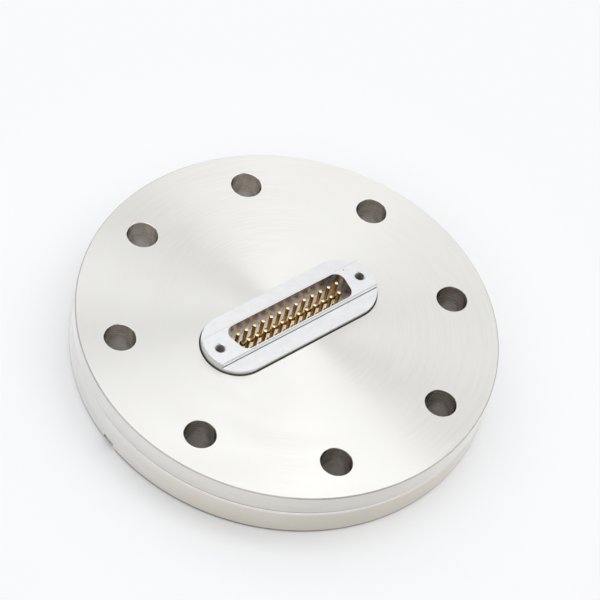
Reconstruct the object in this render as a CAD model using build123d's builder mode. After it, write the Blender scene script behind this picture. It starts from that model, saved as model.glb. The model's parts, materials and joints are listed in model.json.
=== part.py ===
from build123d import *
import os
from math import radians, tan

os.makedirs("parts", exist_ok=True)

# A vacuum feedthrough: a blank knife-edge flange with a 25-way D-shaped
# connector welded into its middle. All sizes are in millimetres.
# The origin is the middle of the vacuum-side face. +Z points to the air side,
# +X runs along the connector and +Y points to its longer row of contacts.

# Flange
flange_diameter = 113.5
flange_thickness = 15.2
rim_air_chamfer = 0.3
rim_vacuum_chamfer = 0.5
rim_groove_below_face = 6.2
rim_groove_depth = 0.15
rim_groove_upper_height = 0.4
rim_groove_lower_height = 0.8

# Bolt holes
bolt_hole_count = 8
bolt_hole_diameter = 8.4
bolt_hole_chamfer = 0.1
bolt_to_rim = 10.7

# Gasket pocket and knife edge, on the vacuum side
pocket_wall = 0.575
knife_to_pocket = 2.775
knife_tip_below_face = 0.65
knife_outer_angle = 20
knife_inner_angle = 70
recess_depth = 3.0
leak_groove_width = 4.0
leak_groove_depth = 1.5

# Contacts
contact_pitch = 2.77
row_spacing = 2.84
long_row_count = 13
short_row_count = 12
pin_diameter = 1.02
pin_tip_chamfer = 0.22
pin_setback = 0.3
seal_diameter = 1.9
seal_length = 3.6

# D-shaped opening round the contacts
opening_end_room = 3.1
opening_side_room = 2.76
opening_side_angle = 10
opening_corner_radius = 2.6
opening_depth = 6.5

# Connector shell
platform_wall = 0.48
platform_above_face = 2.93
band_width = 4.72
band_above_face = 1.42
edge_break = 0.15
vacuum_platform_height = 1.5
vacuum_platform_setback = 1.2

# Jackscrew holes, at their tapping size
jack_beyond_opening = 3.8
jack_end_wall = 3.78
jack_hole_diameter = 2.26
jack_mouth_diameter = 3.2
jack_mouth_angle = 90
jack_air_depth = 6.5
jack_vacuum_depth = 5.0

# Weld
weld_gap = 0.27
weld_lip = 1.0
weld_relief_width = 1.5
weld_relief_depth = 1.5
bead_reach = 0.65
bead_height = 0.4
bead_rounding = 0.3
weld_root = 0.8

# How near a face or an edge must be to count as found
find_within = 0.01

# Sizes that follow from these
flange_radius = flange_diameter / 2
bolt_circle_radius = flange_radius - bolt_to_rim
pocket_radius = bolt_circle_radius - bolt_hole_diameter / 2 - pocket_wall
knife_radius = pocket_radius - knife_to_pocket
pocket_depth = knife_tip_below_face + knife_to_pocket * tan(radians(knife_outer_angle))
recess_radius = knife_radius - (recess_depth - knife_tip_below_face) / tan(radians(knife_inner_angle))

long_row_length = (long_row_count - 1) * contact_pitch
opening_length = long_row_length + 2 * opening_end_room
opening_width = row_spacing + 2 * opening_side_room
jack_x = opening_length / 2 + jack_beyond_opening
shell_length = 2 * (jack_x + jack_end_wall)
platform_width = opening_width + 2 * platform_wall
shell_width = platform_width + 2 * band_width

platform_z = flange_thickness + platform_above_face
band_z = flange_thickness + band_above_face
air_floor_z = platform_z - opening_depth
vacuum_floor_z = air_floor_z - seal_length
vacuum_platform_z = recess_depth - vacuum_platform_height


def contact_spots():
    """Where the contacts stand, numbered from the left end of the longer row."""
    spots = []
    for count, y in ((long_row_count, row_spacing / 2), (short_row_count, -row_spacing / 2)):
        for place in range(count):
            spots.append(((place - (count - 1) / 2) * contact_pitch, y))
    return spots


def stadium(growth, mode=Mode.ADD):
    """The connector's rounded outline, grown all round by one amount."""
    return SlotOverall(shell_length + 2 * growth, shell_width + 2 * growth, mode=mode)


# Flange: a turned disc, drilled, slotted for the connector and cut across
# its sealing face by two leak-check grooves
with BuildPart() as flange:
    groove_top = flange_thickness - rim_groove_below_face
    groove_root = groove_top - rim_groove_upper_height
    groove_bottom = groove_root - rim_groove_lower_height
    with BuildSketch(Plane.XZ) as turned_section:
        with BuildLine():
            Polyline(
                (0, recess_depth),
                (recess_radius, recess_depth),
                (knife_radius, knife_tip_below_face),
                (pocket_radius, pocket_depth),
                (pocket_radius, 0),
                (flange_radius - rim_vacuum_chamfer, 0),
                (flange_radius, rim_vacuum_chamfer),
                (flange_radius, groove_bottom),
                (flange_radius - rim_groove_depth, groove_root),
                (flange_radius, groove_top),
                (flange_radius, flange_thickness - rim_air_chamfer),
                (flange_radius - rim_air_chamfer, flange_thickness),
                (0, flange_thickness),
                close=True,
            )
        make_face()
    revolve(axis=Axis.Z)

    with BuildSketch(Plane.XY) as bolt_holes:
        with PolarLocations(bolt_circle_radius, bolt_hole_count, start_angle=180 / bolt_hole_count):
            Circle(bolt_hole_diameter / 2)
    extrude(amount=flange_thickness, mode=Mode.SUBTRACT)
    circles = flange.edges().filter_by(GeomType.CIRCLE)
    mouths = circles.filter_by(lambda edge: abs(edge.radius - bolt_hole_diameter / 2) < find_within)
    chamfer(mouths, length=bolt_hole_chamfer)

    with BuildSketch(Plane.XY) as leak_grooves:
        Rectangle(flange_diameter, leak_groove_width)
        Circle(pocket_radius, mode=Mode.SUBTRACT)
    extrude(amount=leak_groove_depth, mode=Mode.SUBTRACT)

    with BuildSketch(Plane.XY.offset(recess_depth)) as connector_slot:
        stadium(weld_gap)
    extrude(amount=flange_thickness - recess_depth, mode=Mode.SUBTRACT)

    with BuildSketch(Plane.XY.offset(recess_depth)) as weld_relief:
        stadium(weld_gap + weld_lip + weld_relief_width)
        stadium(weld_gap + weld_lip, mode=Mode.SUBTRACT)
    extrude(amount=weld_relief_depth, mode=Mode.SUBTRACT)

flange.part.label = "flange"
export_step(flange.part, "parts/flange.step")


# Connector shell: one machined block with a raised platform on both sides
with BuildPart() as connector_shell:
    with BuildSketch(Plane.XY.offset(recess_depth)) as shell_outline:
        stadium(0)
    extrude(amount=platform_z - recess_depth)

    with BuildSketch(Plane.XY.offset(platform_z)) as side_bands:
        with GridLocations(0, platform_width + band_width, 1, 2):
            Rectangle(shell_length, band_width)
    extrude(amount=band_z - platform_z, mode=Mode.SUBTRACT)

    with BuildSketch(Plane.XY.offset(recess_depth)) as vacuum_platform:
        stadium(-vacuum_platform_setback)
        Rectangle(shell_length, platform_width, mode=Mode.INTERSECT)
    extrude(amount=-vacuum_platform_height)

    platform_top = connector_shell.faces().sort_by(Axis.Z)[-1]
    bands = connector_shell.faces().filter_by(lambda face: abs(face.center().Z - band_z) < find_within)
    band_rims = bands.edges().filter_by(lambda edge: abs(edge.center().Y) > platform_width / 2 + edge_break)
    chamfer(platform_top.edges() + band_rims, length=edge_break)

    for low_z, high_z in ((air_floor_z, platform_z), (vacuum_platform_z, vacuum_floor_z)):
        with BuildSketch(Plane.XY.offset(low_z)) as opening:
            outline = Trapezoid(opening_length, opening_width, 90 + opening_side_angle)
            fillet(outline.vertices(), radius=opening_corner_radius)
        extrude(amount=high_z - low_z, mode=Mode.SUBTRACT)

    with BuildSketch(Plane.XY.offset(vacuum_floor_z)) as seal_holes:
        with Locations(*contact_spots()):
            Circle(seal_diameter / 2)
    extrude(amount=seal_length, mode=Mode.SUBTRACT)

    with Locations((-jack_x, 0, platform_z), (jack_x, 0, platform_z)):
        CounterSinkHole(jack_hole_diameter / 2, jack_mouth_diameter / 2, jack_air_depth, jack_mouth_angle)
    with Locations(Plane.XY.offset(vacuum_platform_z).rotated((180, 0, 0))):
        with GridLocations(2 * jack_x, 0, 2, 1):
            CounterSinkHole(
                jack_hole_diameter / 2, jack_mouth_diameter / 2, jack_vacuum_depth, jack_mouth_angle
            )

connector_shell.part.label = "connector_shell"
export_step(connector_shell.part, "parts/connector_shell.step")


# Weld bead: a rounded ring over the joint, with its root in the gap
with BuildPart() as weld_bead:
    with BuildSketch(Plane.XY.offset(recess_depth)) as bead_outline:
        stadium(weld_gap + bead_reach)
        stadium(-bead_reach, mode=Mode.SUBTRACT)
    extrude(amount=-bead_height)
    fillet(weld_bead.faces().sort_by(Axis.Z)[0].edges(), radius=bead_rounding)
    with BuildSketch(Plane.XY.offset(recess_depth)) as root_outline:
        stadium(weld_gap)
        stadium(0, mode=Mode.SUBTRACT)
    extrude(amount=weld_root)

weld_bead.part.label = "weld_bead"
export_step(weld_bead.part, "parts/weld_bead.step")


# Contacts: straight pins, each sealed into the shell by a ring of glass
for number, (x, y) in enumerate(contact_spots(), start=1):
    with BuildPart() as pin:
        with BuildSketch(Plane.XY.offset(vacuum_platform_z + pin_setback)) as shank:
            with Locations((x, y)):
                Circle(pin_diameter / 2)
        extrude(amount=platform_z - vacuum_platform_z - 2 * pin_setback)
        chamfer(pin.edges().filter_by(GeomType.CIRCLE), length=pin_tip_chamfer)
    pin.part.label = f"pin_{number:02d}"
    export_step(pin.part, f"parts/{pin.part.label}.step")

    with BuildPart() as glass_seal:
        with BuildSketch(Plane.XY.offset(vacuum_floor_z)) as ring:
            with Locations((x, y)):
                Circle(seal_diameter / 2)
                Circle(pin_diameter / 2, mode=Mode.SUBTRACT)
        extrude(amount=seal_length)
    glass_seal.part.label = f"glass_seal_{number:02d}"
    export_step(glass_seal.part, f"parts/{glass_seal.part.label}.step")
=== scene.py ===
# %% [markdown]
# # A vacuum feedthrough
# The real object is a round stainless flange, 113.5 mm across, that closes a port of a vacuum
# chamber. A D-shaped connector is welded into its middle, and 25 gold pins carry signals
# through it, each sealed in its own ring of glass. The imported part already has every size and
# place, so each piece made here is laid over the node that it stands for, in the same frame.

import json
from math import cos, pi, radians, sin, tan, tau

import bmesh
import bpy
from mathutils import Matrix, Vector


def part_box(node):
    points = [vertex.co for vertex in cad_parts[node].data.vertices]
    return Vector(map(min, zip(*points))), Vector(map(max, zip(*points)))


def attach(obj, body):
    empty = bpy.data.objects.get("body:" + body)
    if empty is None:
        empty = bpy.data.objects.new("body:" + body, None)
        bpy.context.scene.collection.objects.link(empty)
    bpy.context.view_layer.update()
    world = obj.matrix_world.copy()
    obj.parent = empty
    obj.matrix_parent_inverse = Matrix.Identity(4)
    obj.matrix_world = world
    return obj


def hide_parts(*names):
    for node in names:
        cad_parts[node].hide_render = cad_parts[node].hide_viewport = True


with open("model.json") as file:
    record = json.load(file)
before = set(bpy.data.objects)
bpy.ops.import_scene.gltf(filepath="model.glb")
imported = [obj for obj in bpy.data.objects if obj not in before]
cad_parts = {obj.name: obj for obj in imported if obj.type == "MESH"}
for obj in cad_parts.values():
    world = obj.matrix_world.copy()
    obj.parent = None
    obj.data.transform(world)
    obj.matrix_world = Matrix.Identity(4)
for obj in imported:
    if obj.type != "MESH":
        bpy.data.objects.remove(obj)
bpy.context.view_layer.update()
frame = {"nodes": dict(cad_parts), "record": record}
scene = bpy.context.scene
mm = 0.001

# %% [markdown]
# ## The camera
# The photograph was taken with a long lens from above and in front of the connector's left
# end, with the camera leaning over. A long lens keeps the ellipses of the holes alike. A camera
# can be placed by three coordinates and three turns, but those are hard to read. So it is given
# as a photographer would say it: where it aims, from which side, how high, how far, and how
# much it leans.

# %% Camera
camera_aim = Vector((6.065, 3.265, 15.2)) * mm
camera_azimuth = radians(219.8)
camera_elevation = radians(51.03)
camera_distance = 628.4 * mm
camera_lean = radians(15.74)
camera_lens_mm = 141.75
camera_sensor_mm = 36

towards_camera = Vector((
    cos(camera_elevation) * cos(camera_azimuth),
    cos(camera_elevation) * sin(camera_azimuth),
    sin(camera_elevation),
))
camera = bpy.data.objects.new("camera", bpy.data.cameras.new("camera"))
camera.data.lens = camera_lens_mm
camera.data.sensor_width = camera_sensor_mm
level_view = (-towards_camera).to_track_quat("-Z", "Y").to_matrix()
leaning_view = level_view @ Matrix.Rotation(camera_lean, 3, "Z")
camera.matrix_world = Matrix.LocRotScale(
    camera_aim + camera_distance * towards_camera, leaning_view.to_quaternion(), None
)
scene.collection.objects.link(camera)
scene.camera = camera
print("camera at", camera.matrix_world.translation)

# %% [markdown]
# ## Small helpers for materials
# A material is a tree of nodes. One short function adds a node, sets it and wires its inputs.
# The others stand for what comes back all the time: a calculation, a ramp between two values,
# a mix of two colours, a random pattern and a bump. They could be written out each time, but
# with them each finish further down can be read as a list of what it is made of.

# %% Helpers for values and colours


def add(tree, kind, inputs=None, **settings):
    """Adds one shader node, sets it, and sets or links its inputs."""
    node = tree.nodes.new("ShaderNode" + kind)
    for key, value in settings.items():
        setattr(node, key, value)
    for key, value in (inputs or {}).items():
        if isinstance(value, bpy.types.NodeSocket):
            tree.links.new(value, node.inputs[key])
        else:
            node.inputs[key].default_value = value
    return node


def maths(tree, operation, first, second=0.0, **settings):
    """A calculation on two values, each a number or a socket."""
    return add(tree, "Math", {0: first, 1: second}, operation=operation, **settings).outputs[0]


def times(tree, first, second):
    """The product of two values."""
    return maths(tree, "MULTIPLY", first, second)


def length_of(tree, vector):
    """The length of a vector."""
    return add(tree, "VectorMath", {0: vector}, operation="LENGTH").outputs["Value"]


def step_up(tree, value, start, end, low=0.0, high=1.0):
    """Ramps from low to high as the value goes from start to end."""
    ramp = {"Value": value, "From Min": start, "From Max": end, "To Min": low, "To Max": high}
    return add(tree, "MapRange", ramp).outputs[0]


def mix_colors(tree, share, first, second):
    """Mixes two colours, each fixed or a socket, by a share from 0 to 1."""
    mix = add(tree, "Mix", {"Factor": share}, data_type="RGBA")
    for name, color in (("A", first), ("B", second)):
        if isinstance(color, bpy.types.NodeSocket):
            tree.links.new(color, mix.inputs[name])
        else:
            mix.inputs[name].default_value = (*color, 1)
    return mix.outputs["Result"]


# %% Helpers for surfaces


def new_finish(name, metallic, roughness):
    """A material with its surface shader, ready for colour and bump."""
    material = bpy.data.materials.new(name)
    material.use_nodes = True
    surface = material.node_tree.nodes["Principled BSDF"]
    surface.inputs["Metallic"].default_value = metallic
    surface.inputs["Roughness"].default_value = roughness
    return material, surface


def object_place(tree):
    """The point's place on the object, in metres."""
    return add(tree, "TexCoord").outputs["Object"]


def noise(tree, place, scale, detail, **more):
    """A soft random pattern from 0 to 1, in the space of the given places."""
    inputs = {"Vector": place, "Scale": scale, "Detail": detail, **more}
    return add(tree, "TexNoise", inputs).outputs["Fac"]


def color_and_bump(tree, surface, color, height, strength, distance):
    """Gives a surface its colour, and a bump from the height of a pattern."""
    tree.links.new(color, surface.inputs["Base Color"])
    bump = add(tree, "Bump", {"Height": height, "Strength": strength, "Distance": distance})
    tree.links.new(bump.outputs[0], surface.inputs["Normal"])


# %% [markdown]
# ## Floor and background
# The object lies on a plain white table. A curved backdrop or a lit sky could make the white
# background, but both would put more light on the object. Here the table is one large square
# with a material that changes with distance. Near the object it is a matt surface that takes
# the shadow. Further out it turns into a plain cool white of its own for the camera and for
# reflections, so the background doesn't depend on how much light falls there. The square lies
# a third of a millimetre low, as if the flange stood on specks of dust. Its colour holds a
# painted contact shadow: it is painted dark in the narrow gap under the flange's broken edge,
# which draws the thin dark line at its foot.

# %% Table
floor_size = 12.0
floor_below = 0.35 * mm
floor_color = (0.938, 0.946, 0.960)
painted_gap_shadow_color = (0.10, 0.10, 0.10)
gap_reach = 3.0 * mm
backdrop_color = (0.952, 0.957, 0.970)
backdrop_start = 58 * mm
backdrop_full = 104 * mm


def table_white():
    """Matt white, with a painted shadow in narrow gaps, and an even white further out."""
    material, surface = new_finish("table_white", 0.0, 0.9)
    surface.inputs["Specular IOR Level"].default_value = 0.0
    tree = material.node_tree
    # Painted shadow: the colour turns dark where little open sky is seen, in the gap under the flange.
    openness = add(tree, "AmbientOcclusion", {"Distance": gap_reach}, samples=16).outputs["AO"]
    color = mix_colors(tree, step_up(tree, openness, 0.2, 0.5), painted_gap_shadow_color, floor_color)
    tree.links.new(color, surface.inputs["Base Color"])
    far_out = step_up(tree, length_of(tree, object_place(tree)), backdrop_start, backdrop_full)
    rays = add(tree, "LightPath").outputs
    seen = maths(tree, "ADD", rays["Is Camera Ray"], rays["Is Glossy Ray"])
    seen = maths(tree, "ADD", seen, rays["Is Transmission Ray"])
    share = maths(tree, "MULTIPLY", seen, far_out, use_clamp=True)
    plain = add(tree, "Emission", {"Color": (*backdrop_color, 1), "Strength": 1.0})
    mix = add(tree, "MixShader", {0: share, 1: surface.outputs[0], 2: plain.outputs[0]})
    tree.links.new(mix.outputs[0], tree.nodes["Material Output"].inputs["Surface"])
    return material


floor_mesh = bmesh.new()
bmesh.ops.create_grid(floor_mesh, x_segments=1, y_segments=1, size=floor_size / 2)
bmesh.ops.translate(floor_mesh, verts=floor_mesh.verts, vec=(0, 0, -floor_below))
floor = bpy.data.objects.new("floor", bpy.data.meshes.new("floor"))
floor_mesh.to_mesh(floor.data)
floor_mesh.free()
floor.data.materials.append(table_white())
scene.collection.objects.link(floor)
print("floor", floor_size, "m across, matt within", backdrop_start / mm, "mm")

# %% [markdown]
# ## World
# A picture of a room could light the object, but bare metal would then show that room. The
# surroundings in the photograph are white, so a plain, even white world does it. It lights
# every side alike and fills the reflections in the metal.

# %% World
world_strength = 0.57

world = bpy.data.worlds.new("studio")
scene.world = world
world.use_nodes = True
background = world.node_tree.nodes["Background"]
background.inputs["Color"].default_value = (1, 1, 1, 1)
background.inputs["Strength"].default_value = world_strength
print("world", world_strength)

# %% [markdown]
# ## Lamps
# Turned metal shows a lamp as two bright sectors, like the bottom of a pan. The sectors need
# light from the spot that the flat face mirrors, straight back from the camera, and from the
# line between that spot and the point overhead. So a wide strip hangs level there, with a long
# narrow one across it that brightens the middle of the sectors, and a third that hangs to the
# right and lifts that side of the face. Nothing hangs straight above, where it would burn the
# face out for a view from the top. The lamps round the sides stand low, and light the rim and
# the matt table more than the face. They are wide and dim, not small and bright, because the
# face mirrors them in a view from a low side, where a bright lamp would turn it plain white.
# Their work is the soft shadow, which is deepest at the left.

# %% Helpers for lamps
view_heading = camera_azimuth + pi


def soft_box(name, place, size, radiance, level_turn=None):
    """A flat lamp of even brightness that faces the object, or hangs level at a turn."""
    lamp = bpy.data.lights.new(name, "AREA")
    lamp.shape = "RECTANGLE"
    lamp.size, lamp.size_y = size
    lamp.energy = radiance * pi * size[0] * size[1]
    body = bpy.data.objects.new(name, lamp)
    place = Vector(place)
    if level_turn is None:
        facing = place.to_track_quat("Z", "Y")
    else:
        facing = Matrix.Rotation(level_turn, 3, "Z").to_quaternion()
    body.matrix_world = Matrix.LocRotScale(place, facing, None)
    scene.collection.objects.link(body)


def from_side(azimuth, elevation, distance):
    """A place given by compass angle, height angle and distance."""
    flat = distance * cos(radians(elevation))
    height = distance * sin(radians(elevation))
    return flat * cos(radians(azimuth)), flat * sin(radians(azimuth)), height


def level_place(beyond, across, height):
    """A place given by how far it is beyond the object, across the view and up."""
    x = beyond * cos(view_heading) - across * sin(view_heading)
    y = beyond * sin(view_heading) + across * cos(view_heading)
    return x, y, height


# %% Lamps
level_lamps = (
    # name, metres beyond the object, across the view and up, size, brightness
    ("wide_strip", (0.35, 0.0, 1.2), (0.35, 1.75), 1.59),
    ("long_strip", (0.95, 0.0, 1.3), (1.52, 0.38), 0.38),
    ("side_strip", (0.0, -0.7, 1.2), (0.35, 1.05), 1.10),
)
side_lamps = (
    # name, compass angle, height angle and distance, size, brightness
    ("back_lamp", (84, 40, 1.2), (0.42, 0.42), 1.04),
    ("back_left_lamp", (100, 20, 1.6), (1.8, 1.0), 0.48),
    ("back_right_lamp", (60, 15, 1.6), (2.4, 0.8), 0.34),
    ("right_lamp", (335, 27, 1.5), (2.5, 1.7), 0.52),
    ("left_lamp", (200, 24, 1.6), (3.0, 1.4), 0.84),
)
for name, place, size, radiance in level_lamps:
    soft_box(name, level_place(*place), size, radiance, level_turn=view_heading)
for name, place, size, radiance in side_lamps:
    soft_box(name, from_side(*place), size, radiance)

# %% [markdown]
# ## Where a point lies on the lathe
# A lathe leaves fine grooves that run round the axis. A picture of rings could be laid on the
# face, but it would be stretched on the rim. Instead the material works out where a point lies
# for the lathe: its direction from the axis, and how far the tool has come, which is radius
# plus height. That climbs across the face and then down the rim. Noise that is fine along the
# tool's path and slow round the axis gives rings that fade in and out, as real ones do.

# %% Where a point lies on the lathe


def polar_place(tree):
    """A point's direction from the axis, its distance from the axis, and its height."""
    parts = add(tree, "SeparateXYZ", {"Vector": object_place(tree)}).outputs
    level = add(tree, "CombineXYZ", {"X": parts["X"], "Y": parts["Y"]}).outputs[0]
    heading = add(tree, "VectorMath", {0: level}, operation="NORMALIZE").outputs[0]
    return heading, length_of(tree, level), parts["Z"]


def lathe_place(tree, round_scale, path_scale):
    """A pattern space: slow round the axis, fine along the tool's path in millimetres."""
    heading, radius, height = polar_place(tree)
    stretch = {0: heading, "Scale": round_scale}
    round_axis = add(tree, "VectorMath", stretch, operation="SCALE").outputs[0]
    path = times(tree, maths(tree, "ADD", radius, height), path_scale / mm)
    along = add(tree, "CombineXYZ", {"Z": path}).outputs[0]
    return add(tree, "VectorMath", {0: round_axis, 1: along}, operation="ADD").outputs[0]


# %% [markdown]
# ## Where a point lies beside the weld
# The welder's heat leaves straw and blue bands beside a weld on stainless steel. They could be
# painted on, but their place follows a simple rule: how far a point is from the weld's middle
# line. That line is a rounded outline, two straight runs joined by half circles. So the
# distance is measured from the straight run, or from the centre of the nearer end. The bead and
# the flange beside it share the rule, so their bands meet.

# %% Where a point lies beside the weld
shell_low, shell_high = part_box("connector_shell")
shell_length = shell_high.x - shell_low.x
shell_width = shell_high.y - shell_low.y
weld_gap = 0.27 * mm
weld_line_radius = (shell_width + weld_gap) / 2
straight_half = (shell_length - shell_width) / 2


def connector_place(tree):
    """How far a point lies along the connector, past its straight run, across it and up."""
    parts = add(tree, "SeparateXYZ", {"Vector": object_place(tree)}).outputs
    along = maths(tree, "ABSOLUTE", parts["X"])
    beyond = maths(tree, "MAXIMUM", maths(tree, "SUBTRACT", along, straight_half), 0.0)
    return along, beyond, maths(tree, "ABSOLUTE", parts["Y"]), parts["Z"]


print("the weld runs", weld_line_radius / mm, "mm from the connector's middle line")

# %% Heat bands
heat_bands = (
    # start, peak and end beside the weld in millimetres, tint, how much of it
    (0.5, 0.9, 1.4, (0.62, 0.47, 0.26), 0.55),
    (1.1, 1.5, 2.1, (0.33, 0.34, 0.50), 0.45),
    (1.8, 2.6, 4.2, (0.74, 0.66, 0.48), 0.35),
)
heat_wander = 0.5 * mm
heat_full_below = 4.0 * mm
heat_none_above = 5.0 * mm


def weld_heat(tree, color):
    """Tints a colour with straw and then blue, in bands beside the weld, on the vacuum side."""
    _, beyond, across, height = connector_place(tree)
    distance = length_of(tree, add(tree, "CombineXYZ", {"X": beyond, "Y": across}).outputs[0])
    away = maths(tree, "ABSOLUTE", maths(tree, "SUBTRACT", distance, weld_line_radius))
    wander = times(tree, noise(tree, object_place(tree), 300.0, 2.0), heat_wander)
    away = maths(tree, "ADD", wander, away)
    below = step_up(tree, height, heat_full_below, heat_none_above, 1.0, 0.0)
    for start, peak, end, tint, amount in heat_bands:
        rise = step_up(tree, away, start * mm, peak * mm)
        fall = step_up(tree, away, peak * mm, end * mm, 1.0, 0.0)
        share = times(tree, times(tree, times(tree, rise, fall), below), amount)
        color = mix_colors(tree, share, color, tint)
    return color


print("heat bands:", len(heat_bands))

# %% [markdown]
# ## Turned steel
# The flange's face and rim are fine turned stainless. The grooves could be modelled, but they
# are far smaller than a pixel. What shows is how they spread light: across themselves, and
# hardly at all along themselves. So the shader is anisotropic, with a tangent that runs round
# the axis, and a faint bump adds the rings that can be seen. The face has brown smudges where
# the rings are coarse. The rim was turned in another cut and has two tones of its own. Its
# front side, which mirrors the shaded table, has painted shade: a darker brown cast, strongest
# below the groove. The knife edge and its pocket are turned finer, so that a gasket seals on
# them.

# %% The rim's tones, and its painted shade
flange_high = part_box("flange")[1]
rim_radius = flange_high.x
rim_light = (0.875, 0.875, 0.865)
rim_stained = (0.82, 0.81, 0.79)
# Painted shade: the side of the rim that faces this way is painted darker and browner.
rim_shade_brown = (0.71, 0.67, 0.60)
rim_shaded_side = (cos(radians(245)), sin(radians(245)), 0)
shade_full_below = 7.0 * mm
shade_half_above = 9.0 * mm


def rim_color(tree, heading, height, streaky):
    """The rim's two tones, with painted shade on its front side, strongest below the groove."""
    sides = {0: heading, 1: rim_shaded_side}
    facing = add(tree, "VectorMath", sides, operation="DOT_PRODUCT").outputs["Value"]
    low_rim = step_up(tree, height, shade_full_below, shade_half_above, 1.0, 0.5)
    painted_shade = times(tree, step_up(tree, facing, 0.35, 0.9), low_rim)
    tones = mix_colors(tree, streaky, rim_light, rim_stained)
    return mix_colors(tree, painted_shade, tones, rim_shade_brown)


print("rim radius", rim_radius / mm, "mm")

# %% Turned steel
lathe_spread = 0.9
quarter_turn = 0.25
roughness_swing = 0.025
rim_blend_start = rim_radius - 0.45 * mm
rim_blend_end = rim_radius - 0.25 * mm


def turned_steel(name, bright, stained, roughness, ring_height):
    """Fine turned stainless: rings that fade in and out, brown smudges, and a rim with painted shade.
    """
    material, surface = new_finish(name, 1.0, roughness)
    tree = material.node_tree
    heading, radius, height = polar_place(tree)
    streaky = step_up(tree, noise(tree, lathe_place(tree, 3.0, 1.8), 1.0, 4.0), 0.38, 0.66)
    smudges = step_up(tree, noise(tree, object_place(tree), 26.0, 3.0), 0.48, 0.72, 0.06, 1.0)
    face_color = mix_colors(tree, times(tree, smudges, streaky), bright, stained)
    on_rim = step_up(tree, radius, rim_blend_start, rim_blend_end)
    color = mix_colors(tree, on_rim, face_color, rim_color(tree, heading, height, streaky))
    rings = noise(tree, lathe_place(tree, 1.2, 2.5), 1.0, 1.5)
    color_and_bump(tree, surface, weld_heat(tree, color), rings, 0.35, ring_height)
    patches = noise(tree, lathe_place(tree, 2.0, 0.25), 1.0, 2.0)
    smooth, dull = roughness - roughness_swing, roughness + roughness_swing
    tree.links.new(step_up(tree, patches, 0.3, 0.7, smooth, dull), surface.inputs["Roughness"])
    round_axis = add(tree, "Tangent", direction_type="RADIAL", axis="Z")
    tree.links.new(round_axis.outputs[0], surface.inputs["Tangent"])
    surface.inputs["Anisotropic"].default_value = lathe_spread
    surface.inputs["Anisotropic Rotation"].default_value = quarter_turn
    return material


# %% Finishes from the lathe
turned = turned_steel(
    "turned_steel",
    bright=(0.868, 0.864, 0.843),
    stained=(0.835, 0.810, 0.770),
    roughness=0.34,
    ring_height=0.003 * mm,
)
sealing = turned_steel(
    "sealing_steel",
    bright=(0.84, 0.83, 0.80),
    stained=(0.78, 0.75, 0.70),
    roughness=0.22,
    ring_height=0.004 * mm,
)
print("turned finishes:", turned.name, sealing.name)

# %% [markdown]
# ## Drilled steel
# A drill leaves a darker wall than the lathe, with rings at its feed. The rings lie level in
# every hole, so their pattern only needs the height. A little of the sideways place is added,
# which tilts them as a real drill's spiral is tilted. The grooves run round the hole, so the
# tangent is the wall's own normal turned a quarter round the upright. Between the rings the wall
# is fairly smooth. The middle of each hole mirrors the lit table at its bottom, while light from
# its left and right has bounced many times and lost some each time. So a low roughness gives
# each hole its dark crescents. Painted light is mixed in by place as well: a lighter colour
# towards the bottom of each hole, a painted reflection of the lit table there, and a lighter
# colour in the holes at the back. The same rule, near black and without the painted light,
# paints shade in the threads and other hollows, and with a dull surface it paints shade on the
# broken edges.

# %% Painted light on a drilled wall
# Colours of the painted light in the bolt holes.
lit_back_dark = (0.82, 0.775, 0.72)
lit_back_light = (1.0, 0.955, 0.905)
lit_bottom_color = (1.0, 0.94, 0.87)
bottom_share = 0.5
bottom_start = 9.0 * mm
bottom_full = 2.0 * mm
front_side = -25.0 * mm
back_side = 45.0 * mm


def painted_hole_light(tree, color, shade, side, height):
    """A drilled wall's colour with painted light: lighter at the bottom and in the back holes."""
    low = step_up(tree, height, bottom_start, bottom_full, 0.0, bottom_share)
    color = mix_colors(tree, low, color, lit_bottom_color)
    painted_light = mix_colors(tree, step_up(tree, shade, 0.15, 0.35), lit_back_dark, lit_back_light)
    return mix_colors(tree, step_up(tree, side, front_side, back_side), color, painted_light)


# %% Drilled steel
spiral_tilt = 0.12


def drilled_steel(name, dark, light, roughness, rings_per_mm, grime, spread=0.6, painted_light=False):
    """A drilled wall: rings along the height, grime, and painted light if asked. Darker, it paints
    shade.
    """
    material, surface = new_finish(name, 1.0, roughness)
    tree = material.node_tree
    place = object_place(tree)
    parts = add(tree, "SeparateXYZ", {"Vector": place}).outputs
    climb = maths(tree, "ADD", parts["Z"], times(tree, parts["X"], spiral_tilt))
    feed = {"W": times(tree, climb, rings_per_mm / mm), "Scale": 1.0, "Detail": 3.0}
    rings = add(tree, "TexNoise", feed, noise_dimensions="1D").outputs["Fac"]
    shade = times(tree, rings, noise(tree, place, grime, 4.0))
    color = mix_colors(tree, step_up(tree, shade, 0.15, 0.4), dark, light)
    # Painted light: lighter towards the bottom of each hole and in the holes at the back.
    if painted_light:
        color = painted_hole_light(tree, color, shade, parts["Y"], parts["Z"])
    color_and_bump(tree, surface, color, rings, 0.5, 0.04 * mm)
    wall = add(tree, "NewGeometry").outputs["Normal"]
    around = add(tree, "VectorMath", {0: wall, 1: (0, 0, 1)}, operation="CROSS_PRODUCT")
    tree.links.new(around.outputs[0], surface.inputs["Tangent"])
    surface.inputs["Anisotropic"].default_value = spread
    surface.inputs["Anisotropic Rotation"].default_value = quarter_turn
    return material


# %% Finishes for drilled walls, and darker ones that paint shade
drilled = drilled_steel(
    "drilled_steel",
    dark=(0.46, 0.43, 0.40),
    light=(0.68, 0.64, 0.60),
    roughness=0.13,
    rings_per_mm=2.1,
    grime=420.0,
    spread=0.3,
    painted_light=True,
)
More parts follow.
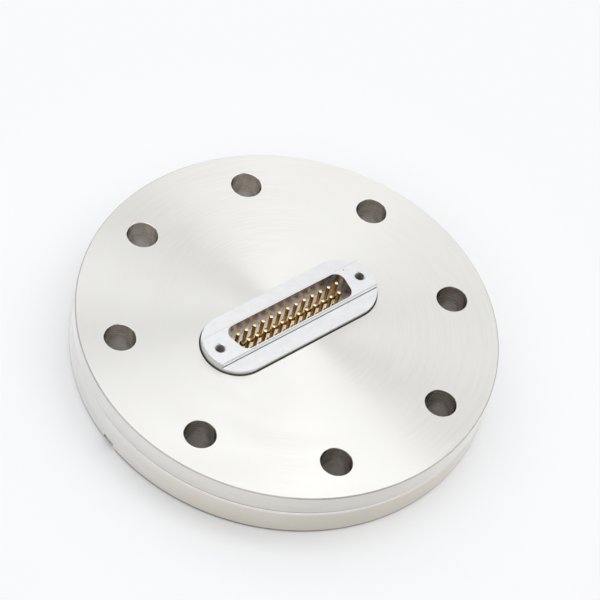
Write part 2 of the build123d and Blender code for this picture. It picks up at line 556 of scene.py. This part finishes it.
# Near black, this finish paints shade: in the threads, undercut lines and dents, on the groove's
# downward flank and on the vacuum side's edge.
near_black_shade = drilled_steel(
    "near_black_shade_steel",
    dark=(0.11, 0.10, 0.09),
    light=(0.36, 0.33, 0.31),
    roughness=0.30,
    rings_per_mm=9.0,
    grime=900.0,
)
# Darker and dull, this finish paints shade on broken edges and on the slot's walls.
edge_shade = drilled_steel(
    "edge_shade_steel",
    dark=(0.46, 0.44, 0.41),
    light=(0.58, 0.56, 0.53),
    roughness=0.50,
    rings_per_mm=3.0,
    grime=45.0,
)
print("drilled finishes:", drilled.name, near_black_shade.name, edge_shade.name)

# %% [markdown]
# ## Milled steel
# The connector's outside was milled and then cleaned to an even, cooler white. The cutter's
# marks run along the part. They could be an image, but noise squeezed in one direction gives
# the same fine lines at any size, and soft clouds give the mottling of cleaned steel. The
# upright outside is darker, which is painted shade. The inside of the opening is mottled, and
# its darker, browner tone is painted shade with a painted reflection of the gold pins, while
# its floor is lighter than the outside, which is painted light. The lower flank of the groove in
# the rim takes the same rule in a warmer light tone, a painted highlight where it looks up.

# %% Milled steel
along_part = (0.06, 1.0, 1.0)
line_scale = 2600.0


def milled_steel(name, light, dark, roughness, mottle=420.0, bump_height=0.006 * mm):
    """A milled surface: clouds of two tones, and fine lines along the part."""
    material, surface = new_finish(name, 1.0, roughness)
    tree = material.node_tree
    place = object_place(tree)
    stretched = add(tree, "Mapping", {"Vector": place, "Scale": along_part}).outputs[0]
    lines = noise(tree, stretched, line_scale, 2.0)
    clouds = noise(tree, place, mottle, 4.0, Roughness=0.6)
    color = mix_colors(tree, step_up(tree, clouds, 0.35, 0.65), light, dark)
    color_and_bump(tree, surface, color, maths(tree, "ADD", lines, clouds), 0.4, bump_height)
    return material


# %% Finishes from the mill
milled = milled_steel("milled_steel", (0.845, 0.855, 0.865), (0.795, 0.805, 0.815), 0.42)
# Painted shade: the shell's upright outside is darker and browner.
outer_wall_shade = milled_steel("outer_wall_shade_steel", (0.76, 0.75, 0.735), (0.68, 0.66, 0.64), 0.34)
# Painted highlight: a warm light tone for the groove's lower flank, which looks up.
groove_highlight = milled_steel("groove_highlight", (0.84, 0.82, 0.79), (0.78, 0.755, 0.72), 0.42)
# Painted shade with a painted reflection of the gold pins: a dark brown tone inside the opening.
opening_wall = milled_steel(
    "opening_wall_steel",
    light=(0.46, 0.42, 0.385),
    dark=(0.26, 0.235, 0.215),
    roughness=0.26,
    mottle=900.0,
    bump_height=0.02 * mm,
)
# Painted light: the opening's floor is lighter than the outside.
opening_floor = milled_steel(
    "opening_floor_steel",
    light=(0.95, 0.95, 0.97),
    dark=(0.88, 0.86, 0.87),
    roughness=0.40,
    mottle=500.0,
    bump_height=0.01 * mm,
)
milled_finishes = (milled, outer_wall_shade, groove_highlight, opening_wall, opening_floor)
print("milled finishes:", [finish.name for finish in milled_finishes])

# %% [markdown]
# ## Weld steel
# A weld bead is a row of frozen ripples that follow the joint. Each ripple could be a small
# piece of its own, but there are hundreds of them, and a bump does as well at this size. Their
# pattern is a wave over the distance travelled along the joint: the straight run first, then
# the angle round each end. A little noise makes the pitch uneven, as a hand does.

# %% Weld steel
ripple_pitch = 0.55 * mm
ripple_height = 0.03 * mm
ripple_wander = 4.0


def weld_steel():
    """A fused bead with ripples along the joint."""
    material, surface = new_finish("weld_steel", 1.0, 0.3)
    tree = material.node_tree
    along, beyond, across, _ = connector_place(tree)
    round_end = times(tree, maths(tree, "ARCTAN2", beyond, across), weld_line_radius)
    travel = maths(tree, "ADD", round_end, maths(tree, "MINIMUM", along, straight_half))
    uneven = noise(tree, object_place(tree), 700.0, 2.0)
    turns = times(tree, travel, tau / ripple_pitch)
    turns = maths(tree, "ADD", times(tree, uneven, ripple_wander), turns)
    ripples = maths(tree, "SINE", turns)
    color = mix_colors(tree, uneven, (0.66, 0.64, 0.61), (0.56, 0.52, 0.47))
    color_and_bump(tree, surface, weld_heat(tree, color), ripples, 0.7, ripple_height)
    return material


welded = weld_steel()
print("weld ripples every", ripple_pitch / mm, "mm")

# %% [markdown]
# ## Gold and glass
# The pins are gold over nickel, browner on the shank, with fine scratches along them, and worn
# bright at the tips by every plug that was pushed on. Noise squeezed along the height gives the
# scratches, and a short ramp at each end gives the tips. The seals are glass, but so dark and
# deep set that hardly any light comes through. So a glossy dark surface stands for them, which
# renders much faster than clear glass would.

# %% Gold plate
pin_low, pin_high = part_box("pin_01")
along_pin = (1.0, 1.0, 0.08)
tip_start = 0.08 * mm
tip_full = 0.02 * mm


def gold_plate():
    """Gold plate: scratched along the pin, and bright at both tips."""
    material, surface = new_finish("gold_plate", 1.0, 0.24)
    tree = material.node_tree
    place = object_place(tree)
    height = add(tree, "SeparateXYZ", {"Vector": place}).outputs["Z"]
    squeezed = add(tree, "Mapping", {"Vector": place, "Scale": along_pin}).outputs[0]
    wear = noise(tree, squeezed, 4200.0, 3.0)
    worn = step_up(tree, wear, 0.35, 0.65)
    color = mix_colors(tree, worn, (0.96, 0.68, 0.24), (0.74, 0.45, 0.12))
    for end, inwards in ((pin_high.z, -1), (pin_low.z, 1)):
        at_tip = step_up(tree, height, end + inwards * tip_start, end + inwards * tip_full)
        color = mix_colors(tree, at_tip, color, (1.0, 0.87, 0.52))
    color_and_bump(tree, surface, color, wear, 0.3, 0.01 * mm)
    return material


gold = gold_plate()
print("pins stand from", pin_low.z / mm, "to", pin_high.z / mm, "mm")

# %% Seal glass


def seal_glass():
    """Dark fused glass with small bubbles."""
    material, surface = new_finish("seal_glass", 0.0, 0.12)
    tree = material.node_tree
    bubbles = noise(tree, object_place(tree), 2500.0, 2.0)
    color = mix_colors(tree, bubbles, (0.035, 0.03, 0.026), (0.02, 0.018, 0.018))
    color_and_bump(tree, surface, color, bubbles, 0.3, 0.01 * mm)
    return material


glass = seal_glass()
print("finishes:", [material.name for material in bpy.data.materials])

# %% [markdown]
# ## Small helpers for pieces
# Most of this object was made by turning and by cutting, so two helpers do the same: one spins
# a section about an upright axis, and one takes a cutter away from a block. The cut is a
# Boolean modifier whose result is copied out at once, and it leaves the cutter's finish on the
# faces that it cuts. The connector's outline comes back in many places, so it has helpers too.
# The rest print a mesh's size, give a finish to chosen faces, and put a piece in the place of
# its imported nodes. There, only creases past a small angle stay sharp.

# %% Helpers for meshes
crease_angle = radians(25)
custom_normals = "custom_normal"


def report(name, mesh):
    """Prints a mesh's size and how many of its edges don't join exactly two faces."""
    check = bmesh.new()
    check.from_mesh(mesh)
    open_edges = sum(1 for edge in check.edges if len(edge.link_faces) != 2)
    triangles = sum(len(face.verts) - 2 for face in check.faces)
    check.free()
    print(name, "has", triangles, "triangles and", open_edges, "open edges")


def finished_mesh(bm, name, material):
    """Turns a bmesh into a mesh of one finish, with its normals outwards."""
    bmesh.ops.recalc_face_normals(bm, faces=bm.faces)
    mesh = bpy.data.meshes.new(name)
    bm.to_mesh(mesh)
    bm.free()
    mesh.materials.append(material)
    return mesh


def finish_faces(mesh, material, chosen):
    """Gives another finish to the faces that the test picks by middle and normal."""
    mesh.materials.append(material)
    slot = len(mesh.materials) - 1
    picked = [face for face in mesh.polygons if chosen(face.center, face.normal)]
    for face in picked:
        face.material_index = slot
    print(material.name, "on", len(picked), "faces of", mesh.name)


def place_piece(mesh, name, nodes):
    """Puts a mesh in the scene in place of the nodes that it stands for."""
    if custom_normals in mesh.attributes:
        mesh.attributes.remove(mesh.attributes[custom_normals])
    mesh.shade_smooth()
    mesh.set_sharp_from_angle(angle=crease_angle)
    piece = bpy.data.objects.new(name, mesh)
    scene.collection.objects.link(piece)
    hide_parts(*nodes)
    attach(piece, "root")


# %% Helpers that turn and cut
same_point = 0.0001 * mm


def turn(bm, profile, steps, centre=(0.0, 0.0), closed=True):
    """Turns a profile of (radius, height) points about an upright axis."""
    x, y = centre
    corners = [bm.verts.new((x + radius, y, height)) for radius, height in profile]
    edges = [bm.edges.new(pair) for pair in zip(corners, corners[1:])]
    if closed:
        edges.append(bm.edges.new((corners[-1], corners[0])))
    bmesh.ops.spin(
        bm, geom=corners + edges, cent=(x, y, 0), axis=(0, 0, 1), angle=tau, steps=steps, use_merge=True
    )
    bmesh.ops.remove_doubles(bm, verts=bm.verts, dist=same_point)


def cut(block, cutter, name):
    """Takes the cutter away from the block and returns the mesh that is left."""
    body = bpy.data.objects.new(name, block)
    tool = bpy.data.objects.new(name + "_cutter", cutter)
    for item in (body, tool):
        scene.collection.objects.link(item)
    modifier = body.modifiers.new("cut", "BOOLEAN")
    modifier.object = tool
    modifier.operation = "DIFFERENCE"
    modifier.solver = "EXACT"
    modifier.material_mode = "TRANSFER"
    left = body.evaluated_get(bpy.context.evaluated_depsgraph_get())
    result = bpy.data.meshes.new_from_object(left)
    for item in (body, tool):
        bpy.data.objects.remove(item)
    return result


# %% Helpers for the connector's outline
end_steps = 64


def stadium(bm, length, width, height):
    """Draws the connector's rounded outline: a circle whose two halves are pulled apart."""
    circle = bmesh.ops.create_circle(bm, radius=width / 2, segments=2 * end_steps)["verts"]
    half_step = Matrix.Rotation(pi / (2 * end_steps), 3, "Z")
    bmesh.ops.rotate(bm, verts=circle, cent=(0, 0, 0), matrix=half_step)
    pull = (length - width) / 2
    for side in (1, -1):
        half = [vert for vert in circle if vert.co.x * side > 0]
        bmesh.ops.translate(bm, verts=half, vec=(side * pull, 0, 0))
    bmesh.ops.translate(bm, verts=circle, vec=(0, 0, height))


def stadiums(bm, outlines):
    """Draws the outline at each (growth, height) and returns the edges of each one."""
    loops = []
    for growth, height in outlines:
        before = set(bm.edges)
        stadium(bm, shell_length + 2 * growth, shell_width + 2 * growth, height)
        loops.append([edge for edge in bm.edges if edge not in before])
    return loops


print("each rounded end has", end_steps, "steps")

# %% [markdown]
# ## The flange blank
# The real flange is turned first, then drilled and milled out for the connector, and the piece
# is made in that order. A cylinder could be cut step by step, but one spin of the whole section
# keeps every ring true to the axis. The section holds the gasket pocket and the knife edge
# below, the shallow groove in the rim, and the broken edges. A small bore is left in the
# middle, because the slot for the connector takes that part away.

# %% Sizes of the flange
face_height = flange_high.z
bolt_circle = next(mount for mount in frame["record"]["mounts"] if mount["name"] == "bolt_circle")
bolt_circle_radius = bolt_circle["dims"]["pcd_mm"] / 2 * mm
bolt_radius = bolt_circle["dims"]["hole_r_mm"] * mm
bolt_count = bolt_circle["dims"]["count"]

rim_air_chamfer = 0.3 * mm
rim_vacuum_chamfer = 0.5 * mm
pocket_radius = bolt_circle_radius - bolt_radius - 0.575 * mm
knife_radius = pocket_radius - 2.775 * mm
knife_height = 0.65 * mm
pocket_height = knife_height + (pocket_radius - knife_radius) * tan(radians(20))
recess_height = 3.0 * mm
recess_radius = knife_radius - (recess_height - knife_height) / tan(radians(70))
groove_top = face_height - 6.2 * mm
groove_root = groove_top - 0.4 * mm
groove_bottom = groove_root - 0.8 * mm
groove_depth = 0.15 * mm
print(bolt_count, "bolt holes, and a knife edge of", knife_radius / mm, "mm radius")

# %% Turn the blank
blank_bore = 5.0 * mm
turning_steps = 360
flange_section = [
    (blank_bore, recess_height),
    (recess_radius, recess_height),
    (knife_radius, knife_height),
    (pocket_radius, pocket_height),
    (pocket_radius, 0),
    (rim_radius - rim_vacuum_chamfer, 0),
    (rim_radius, rim_vacuum_chamfer),
    (rim_radius, groove_bottom),
    (rim_radius - groove_depth, groove_root),
    (rim_radius, groove_top),
    (rim_radius, face_height - rim_air_chamfer),
    (rim_radius - rim_air_chamfer, face_height),
    (blank_bore, face_height),
]

blank = bmesh.new()
turn(blank, flange_section, turning_steps)
blank_mesh = finished_mesh(blank, "flange_blank", turned)
report("flange blank", blank_mesh)

# %% [markdown]
# The knife edge and its pocket get the finer turned finish. On the rim, each band between two
# heights gets a finish that paints light or shade: a dull darker one on the air side's broken
# edge, painted shade; a near-black one on the groove's upper flank, which looks down, and on
# the vacuum side's edge, painted shade too; and a warm light one on the groove's lower flank,
# which looks up, a painted highlight. The faces could be counted, but a test by place still
# holds when the number of steps changes.

# %% Finishes on the blank
recess_margin = 0.15 * mm


def in_pocket(middle, normal):
    """Whether a face belongs to the knife edge or to its pocket."""
    in_ring = recess_radius < middle.xy.length < pocket_radius
    return in_ring and middle.z < recess_height - recess_margin


def in_rim_band(low, high):
    """Makes a test for the faces of the rim between two heights."""
    inner = rim_radius - rim_vacuum_chamfer
    return lambda middle, normal: middle.xy.length > inner and low < middle.z < high


# low, high, finish: each band's finish paints shade or a highlight
rim_bands = (
    (face_height - rim_air_chamfer, face_height, edge_shade),
    (groove_root, groove_top, near_black_shade),
    (groove_bottom, groove_root, groove_highlight),
    (0, rim_vacuum_chamfer, near_black_shade),
)
finish_faces(blank_mesh, sealing, in_pocket)
for low, high, finish in rim_bands:
    finish_faces(blank_mesh, finish, in_rim_band(low, high))

# %% [markdown]
# ## Drills
# Each bolt hole could be cut on its own, but one cut with all the drills together is quicker
# and leaves a cleaner mesh. A drill is a spin of its section. It is wider above and below the
# flange, and that slope breaks the edges of the hole. Every cutter reaches past the surface
# that it cuts, so that no two faces lie in the same plane.

# %% Drills
bolt_chamfer = 0.1 * mm
overshoot = 1.0 * mm
drill_steps = 72
drill_section = [
    (0, -overshoot),
    (bolt_radius + bolt_chamfer + overshoot, -overshoot),
    (bolt_radius, bolt_chamfer),
    (bolt_radius, face_height - bolt_chamfer),
    (bolt_radius + bolt_chamfer + overshoot, face_height + overshoot),
    (0, face_height + overshoot),
]

drills = bmesh.new()
for number in range(bolt_count):
    angle = (number + 0.5) * tau / bolt_count
    centre = (bolt_circle_radius * cos(angle), bolt_circle_radius * sin(angle))
    turn(drills, drill_section, drill_steps, centre=centre, closed=False)
drill_mesh = finished_mesh(drills, "drills", drilled)
report("drills", drill_mesh)

# %% [markdown]
# ## Slot, relief groove and leak grooves
# The connector stands in a slot with the same rounded outline, a little larger all round, and
# flared at its mouth. Three outlines at three heights, bridged and capped, make its cutter. On
# the vacuum side a relief groove runs round the slot, which leaves a thin lip that can be
# melted without heating the whole flange. Two straight grooves cross the sealing side, through
# which the joint is tested for leaks. They don't touch the relief groove, so one cutter holds
# all three.

# %% Slot cutter
slot_chamfer = 0.12 * mm
slot_outlines = (
    (weld_gap, recess_height - overshoot),
    (weld_gap, face_height - slot_chamfer),
    (weld_gap + slot_chamfer + overshoot, face_height + overshoot),
)

slot = bmesh.new()
loops = stadiums(slot, slot_outlines)
for first, second in zip(loops, loops[1:]):
    bmesh.ops.bridge_loops(slot, edges=first + second)
bmesh.ops.holes_fill(slot, edges=slot.edges, sides=0)
# The slot's walls take the darker edge finish, which paints shade in the gap.
slot_mesh = finished_mesh(slot, "slot", edge_shade)
report("slot cutter", slot_mesh)

# %% Relief and leak groove cutter
lip = weld_gap + 1.0 * mm
relief_width = 1.5 * mm
relief_depth = 1.5 * mm
relief_floor = recess_height - overshoot
leak_groove_width = 4.0 * mm
leak_groove_depth = 1.5 * mm
leak_groove_start = pocket_radius - 0.3 * mm
leak_groove_length = rim_radius + overshoot - leak_groove_start

relief = bmesh.new()
stadiums(relief, ((lip, relief_floor), (lip + relief_width, relief_floor)))
bmesh.ops.bridge_loops(relief, edges=relief.edges)
raised = bmesh.ops.extrude_face_region(relief, geom=list(relief.faces))["geom"]
roof = [item for item in raised if isinstance(item, bmesh.types.BMVert)]
bmesh.ops.translate(relief, verts=roof, vec=(0, 0, relief_depth + overshoot))

block_size = (leak_groove_length, leak_groove_width, leak_groove_depth + overshoot)
for side in (1, -1):
    x = side * (leak_groove_start + leak_groove_length / 2)
    block = bmesh.ops.create_cube(relief, size=1)["verts"]
    bmesh.ops.scale(relief, verts=block, vec=block_size)
    bmesh.ops.translate(relief, verts=block, vec=(x, 0, (leak_groove_depth - overshoot) / 2))
relief_mesh = finished_mesh(relief, "relief", turned)
report("relief cutter", relief_mesh)

# %% [markdown]
# ## The finished flange
# The three cutters could be joined and used at once, but a Boolean can lose faces where a
# cutter's own parts cross. So there are three cuts, one after another, and the last mesh is
# placed as the finished piece.

# %% Cut the flange
flange_mesh = cut(blank_mesh, drill_mesh, "flange_drilled")
flange_mesh = cut(flange_mesh, slot_mesh, "flange_slotted")
flange_mesh = cut(flange_mesh, relief_mesh, "flange_relieved")
report("flange", flange_mesh)
place_piece(flange_mesh, "flange_body", ["flange"])

# %% [markdown]
# ## The connector shell
# The shell is one machined block: rounded ends, a raised platform along its middle, and a
# D-shaped opening that holds the contacts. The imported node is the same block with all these
# forms. Making it again would risk a small difference in size, so a copy of the node's mesh is
# the start, and only the fine work is added here. The node itself stays as it is.

# %% Connector shell
shared_point = 0.001 * mm

shell = bmesh.new()
shell.from_mesh(frame["nodes"]["connector_shell"].data)
bmesh.ops.remove_doubles(shell, verts=shell.verts, dist=shared_point)
shell_mesh = bpy.data.meshes.new("connector_shell_body")
shell.to_mesh(shell_mesh)
shell.free()
shell_mesh.materials.append(milled)
report("connector shell", shell_mesh)

# %% [markdown]
# ## Jackscrew threads
# A jackscrew hole at each end of the shell, on both sides, carries a 4-40 thread: 40 turns to
# the inch. A bump can't show a thread's edge, so it is cut as a tap cuts it. One pitch of the
# thread's 60 degree section is wound up a helix, one turn after another. The ends are then
# sliced level and closed, which makes a solid rod in the shape of a tap. Its core is thinner
# than the bore, so only the threads cut.

# %% A tap
thread_pitch = 0.635 * mm
thread_major = 1.4225 * mm
thread_core = 0.9 * mm
thread_steps = 40
root_flat = thread_pitch / 8
flank = (thread_major - thread_core) * tan(radians(30))
thread_middle = thread_pitch / 2
thread_section = [
    (thread_core, 0),
    (thread_core, thread_middle - root_flat / 2 - flank),
    (thread_major, thread_middle - root_flat / 2),
    (thread_major, thread_middle + root_flat / 2),
    (thread_core, thread_middle + root_flat / 2 + flank),
    (thread_core, thread_pitch),
]


def tap(low, high):
    """A threaded rod between two heights, upright at the origin."""
    bm = bmesh.new()
    turns = int((high - low) / thread_pitch) + 3
    start = low - 1.5 * thread_pitch
    corners = [bm.verts.new((radius, 0, start + height)) for radius, height in thread_section]
    edges = [bm.edges.new(pair) for pair in zip(corners, corners[1:])]
    bmesh.ops.spin(
        bm,
        geom=corners + edges,
        cent=(0, 0, 0),
        axis=(0, 0, 1),
        dvec=(0, 0, thread_pitch / thread_steps),
        angle=turns * tau,
        steps=turns * thread_steps,
    )
    bmesh.ops.remove_doubles(bm, verts=bm.verts, dist=shared_point)
    for height, outwards in ((low, -1), (high, 1)):
        bmesh.ops.bisect_plane(
            bm,
            geom=list(bm.verts) + list(bm.edges) + list(bm.faces),
            dist=same_point,
            plane_co=(0, 0, height),
            plane_no=(0, 0, outwards),
            clear_outer=True,
        )
    bmesh.ops.holes_fill(bm, edges=bm.edges, sides=0)
    return bm


print("thread pitch", thread_pitch / mm, "mm")

# %% Cut the threads
jack_x = 23.52 * mm
jack_air_depth = 6.5 * mm
jack_vacuum_depth = 5.0 * mm
thread_margin = 0.3 * mm
thread_spans = (
    (shell_high.z - jack_air_depth + thread_margin, shell_high.z - thread_margin),
    (shell_low.z + thread_margin, shell_low.z + jack_vacuum_depth - thread_margin),
)

taps = bmesh.new()
for x in (-jack_x, jack_x):
    for low, high in thread_spans:
        one = tap(low, high)
        bmesh.ops.translate(one, verts=one.verts, vec=(x, 0, 0))
        rod = bpy.data.meshes.new("tap")
        one.to_mesh(rod)
        one.free()
        taps.from_mesh(rod)
        bpy.data.meshes.remove(rod)
# The cut threads take the near-black finish, which paints shade in the holes.
tap_mesh = finished_mesh(taps, "taps", near_black_shade)
report("taps", tap_mesh)
shell_mesh = cut(shell_mesh, tap_mesh, "shell_tapped")
report("connector shell", shell_mesh)

# %% [markdown]
# ## Fine marks on the shell
# Where each step meets its side band, the cutter's corner has left a fine undercut line. One
# end of it has a nick, and there is a punch mark near the right jackscrew hole. They are cut
# into the mesh like everything else, so they catch real light and shade from every side, and
# their cut faces take the near-black finish, which paints shade in them as well.

# %% Undercut lines
band_height = 16.62 * mm
step_half = 4.66 * mm
undercut = 0.16 * mm
undercut_middle = step_half + 0.3 * undercut

lines = bmesh.new()
for side in (1, -1):
    line = bmesh.ops.create_cube(lines, size=1)["verts"]
    bmesh.ops.scale(lines, verts=line, vec=(shell_length + 2 * overshoot, undercut, 2 * undercut))
    bmesh.ops.translate(lines, verts=line, vec=(0, side * undercut_middle, band_height))
shell_mesh = cut(shell_mesh, finished_mesh(lines, "undercuts", near_black_shade), "shell_undercut")
report("connector shell", shell_mesh)

# %% Punch mark and nick
small_marks = (
    # x, y, height of its mouth, radius and depth, in millimetres
    (20.79, 3.77, 18.13, 0.16, 0.12),
    (-26.15, -4.62, 17.4, 0.26, 1.1),
)
mark_steps = 16

marks = bmesh.new()
for x, y, top, radius, depth in small_marks:
    mark_section = [
        (0, (top - depth) * mm),
        (0.5 * radius * mm, (top - depth) * mm),
        (radius * mm, top * mm),
        (radius * mm, top * mm + 0.5 * overshoot),
        (0, top * mm + 0.5 * overshoot),
    ]
    turn(marks, mark_section, mark_steps, centre=(x * mm, y * mm), closed=False)
shell_mesh = cut(shell_mesh, finished_mesh(marks, "dents", near_black_shade), "shell_dented")
report("connector shell", shell_mesh)

# %% [markdown]
# ## Finishes on the shell
# The shell is one piece with several finishes, and each of the ones below paints light or
# shade. Each face takes its finish from where it lies and which way it looks: the walls and
# floor of the opening, the rounded outside that runs down into the dark gap, with painted shade,
# and the sloping broken edge along the platform, with a painted dark line. The faces could be
# picked by number, but the cuts above change the numbers, and a test by place still holds.

# %% Where a face lies on the shell
opening_half_length = 19.75 * mm
opening_half_width = 4.2 * mm
outside_margin = 0.05 * mm


def in_opening(middle):
    """Whether a point lies in the D-shaped openings, short of the shell's own outside."""
    level = abs(middle.x) < opening_half_length and abs(middle.y) < opening_half_width
    return level and shell_low.z + outside_margin < middle.z < shell_high.z - outside_margin


def on_opening_wall(middle, normal):
    """Whether a face stands upright inside an opening."""
    return in_opening(middle) and abs(normal.z) < 0.5


def on_opening_floor(middle, normal):
    """Whether a face lies level inside an opening."""
    return in_opening(middle) and abs(normal.z) > 0.5


def on_outer_wall(middle, normal):
    """Whether a face is on the rounded outside, which runs down into the gap."""
    beyond = max(abs(middle.x) - straight_half, 0)
    outside = Vector((beyond, middle.y)).length > shell_width / 2 - undercut
    return outside and abs(normal.z) < 0.3


def on_platform_edge(middle, normal):
    """Whether a face is the sloping broken edge along the platform."""
    sloping = abs(normal.y) > 0.6 and 0.6 < abs(normal.z) < 0.8
    return sloping and abs(abs(middle.y) - step_half) < undercut


# %% Finishes on the shell
# Painted shade on the opening's walls, the outside and the platform's edge, painted light on the
# opening's floor.
finish_faces(shell_mesh, opening_wall, on_opening_wall)
finish_faces(shell_mesh, opening_floor, on_opening_floor)
finish_faces(shell_mesh, outer_wall_shade, on_outer_wall)
finish_faces(shell_mesh, edge_shade, on_platform_edge)
place_piece(shell_mesh, "connector_shell_body", ["connector_shell"])

# %% [markdown]
# ## The weld bead
# The bead closes the gap between the shell and the flange on the vacuum side. It has a crown
# that rises from both edges, and a root that reaches into the gap. A curve with a round bevel
# would give a plain tube. So the section is drawn as outlines of different growth and height,
# and each is bridged to the next, all the way round to the first. The crown is a half wave with
# a power below one, which makes it fuller, since molten metal stands up steeply at its edges.

# %% Weld bead
bead_reach = 0.65 * mm
bead_height = 0.4 * mm
root_height = 0.8 * mm
crown_points = 9
crown_power = 0.7

bead_section = []
for point in range(crown_points):
    share = point / (crown_points - 1)
    growth = -bead_reach + share * (weld_gap + 2 * bead_reach)
    bead_section.append((growth, recess_height - bead_height * sin(pi * share) ** crown_power))
bead_section += [
    (weld_gap, recess_height),
    (weld_gap, recess_height + root_height),
    (0, recess_height + root_height),
    (0, recess_height),
]
bead = bmesh.new()
loops = stadiums(bead, bead_section)
for first, second in zip(loops, loops[1:] + loops[:1]):
    bmesh.ops.bridge_loops(bead, edges=first + second)
bead_mesh = finished_mesh(bead, "weld_bead_ring", welded)
report("weld bead", bead_mesh)
place_piece(bead_mesh, "weld_bead_ring", ["weld_bead"])

# %% [markdown]
# ## Pins and seals
# Each contact is a straight turned pin with a nose at both ends, and each seal is a ring of
# glass that was melted round it. Molten glass creeps up the pin and up the bore, so its surface
# dips between them. Both are spins of a section. Copies of one pin would share a mesh, but each
# piece has to stand for its own node, with its place in its mesh. So a loop makes them all, each
# at the place and with the sizes of its own node.

# %% Sections of a pin and of a seal
nose = 0.22 * mm
nose_rounding = 0.3 * nose
dip = 0.12 * mm
dip_points = 7


def pin_section(low, high, radius):
    """A pin's half section. Its upper nose has one more step, which rounds it a little."""
    return [
        (0, low),
        (radius - nose, low),
        (radius, low + nose),
        (radius, high - nose),
        (radius - nose_rounding, high - nose_rounding),
        (radius - nose, high),
        (0, high),
    ]


def dipped_line(height, inner, outer, sink):
    """One surface of a seal, from the pin to the bore, sunk upwards (1) or downwards (-1)."""
    line = []
    for point in range(dip_points):
        share = point / (dip_points - 1)
        line.append((inner + share * (outer - inner), height + sink * dip * sin(pi * share)))
    return line


# %% Pins and seals
round_steps = 32
contacts = sorted(name for name in frame["nodes"] if name.startswith("pin_"))
for name in contacts:
    number = name[-2:]
    low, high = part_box(name)
    centre = ((low.x + high.x) / 2, (low.y + high.y) / 2)
    radius = (high.x - low.x) / 2
    pin = bmesh.new()
    turn(pin, pin_section(low.z, high.z, radius), round_steps, centre=centre, closed=False)
    pin_mesh = finished_mesh(pin, "contact_" + number, gold)
    place_piece(pin_mesh, "contact_" + number, [name])

    low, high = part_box("glass_seal_" + number)
    bore = (high.x - low.x) / 2
    upper = dipped_line(high.z, radius, bore, -1)
    lower = dipped_line(low.z, radius, bore, 1)
    seal = bmesh.new()
    turn(seal, upper[::-1] + lower, round_steps, centre=centre)
    seal_mesh = finished_mesh(seal, "seal_ring_" + number, glass)
    place_piece(seal_mesh, "seal_ring_" + number, ["glass_seal_" + number])
print("pins and seals:", len(contacts))

# %% [markdown]
# ## Sizes
# The finished pieces have to be as large as the imported part that they stand for.

# %% [markdown]
# ## Finish
# Blender's usual view transform bends bright colours as film does. The Standard one shows each
# colour about as it is written, so the last line sets it.

# %% Finish
scene.view_settings.view_transform = "Standard"
